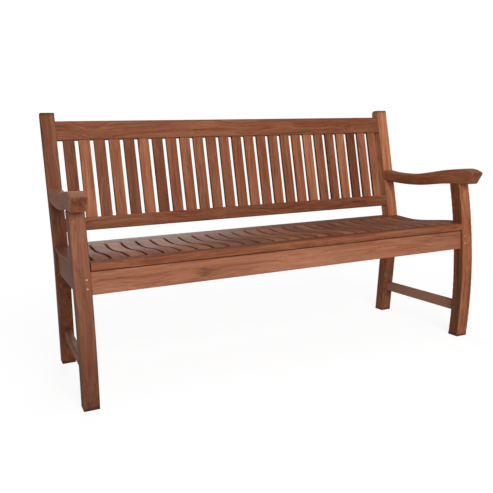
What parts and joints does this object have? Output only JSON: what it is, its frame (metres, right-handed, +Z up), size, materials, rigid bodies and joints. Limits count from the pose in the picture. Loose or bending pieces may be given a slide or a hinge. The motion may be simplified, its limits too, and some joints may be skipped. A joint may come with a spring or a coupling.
{
  "type": "garden bench",
  "caption": "Three-seat wooden garden bench with a raked slatted back, scooped slatted seat, S-curved arms and bowed front legs, joined by pegged tenons.",
  "frame": {"origin": "on the floor under the middle of the bench's bounding box", "axes": "+X along the bench to the sitter's left, which is the right when seen from in front; +Y from front to back; +Z up"},
  "size_m": [1.501, 0.623, 0.921],
  "materials": {
    "teak_frame": "sanded teak, unpainted, satin",
    "teak_seat": "sanded teak, unpainted, slightly greyed on top",
    "teak_back_slat": "sanded teak, unpainted, tone varies from slat to slat",
    "peg_wood": "end grain, sanded nearly flush"
  },
  "bodies": {
    "root": {"right_front_leg": "teak_frame", "left_front_leg": "teak_frame", "right_back_leg": "teak_frame", "left_back_leg": "teak_frame", "right_arm": "teak_frame", "left_arm": "teak_frame", "right_side_rail": "teak_frame", "left_side_rail": "teak_frame", "right_stretcher": "teak_frame", "left_stretcher": "teak_frame", "right_seat_end_slat": "teak_seat", "left_seat_end_slat": "teak_seat", "front_apron": "teak_frame", "rear_seat_rail": "teak_frame", "seat_bearer": "teak_frame", "seat_nosing": "teak_seat", "seat_rear_board": "teak_seat", "top_back_rail": "teak_frame", "lower_back_rail": "teak_frame", "back_slat_01": "teak_back_slat", "back_slat_02": "teak_back_slat", "back_slat_03": "teak_back_slat", "back_slat_04": "teak_back_slat", "back_slat_05": "teak_back_slat", "back_slat_06": "teak_back_slat", "back_slat_07": "teak_back_slat", "back_slat_08": "teak_back_slat", "back_slat_09": "teak_back_slat", "back_slat_10": "teak_back_slat", "back_slat_11": "teak_back_slat", "back_slat_12": "teak_back_slat", "back_slat_13": "teak_back_slat", "back_slat_14": "teak_back_slat", "back_slat_15": "teak_back_slat", "back_slat_16": "teak_back_slat", "back_slat_17": "teak_back_slat", "back_slat_18": "teak_back_slat", "back_slat_19": "teak_back_slat", "back_slat_20": "teak_back_slat", "back_slat_21": "teak_back_slat", "back_slat_22": "teak_back_slat", "back_slat_23": "teak_back_slat", "back_slat_24": "teak_back_slat", "back_slat_25": "teak_back_slat", "seat_slats_01_05": "teak_seat", "seat_slats_06_10": "teak_seat", "seat_slats_11_15": "teak_seat", "seat_slats_16_20": "teak_seat", "seat_slats_21_25": "teak_seat", "apron_pegs": "peg_wood", "rear_rail_pegs": "peg_wood", "top_rail_pegs": "peg_wood", "lower_rail_pegs": "peg_wood", "side_rail_pegs": "peg_wood", "stretcher_pegs": "peg_wood", "arm_pegs": "peg_wood", "seat_dowels": "peg_wood"}
  },
  "joints": []
}
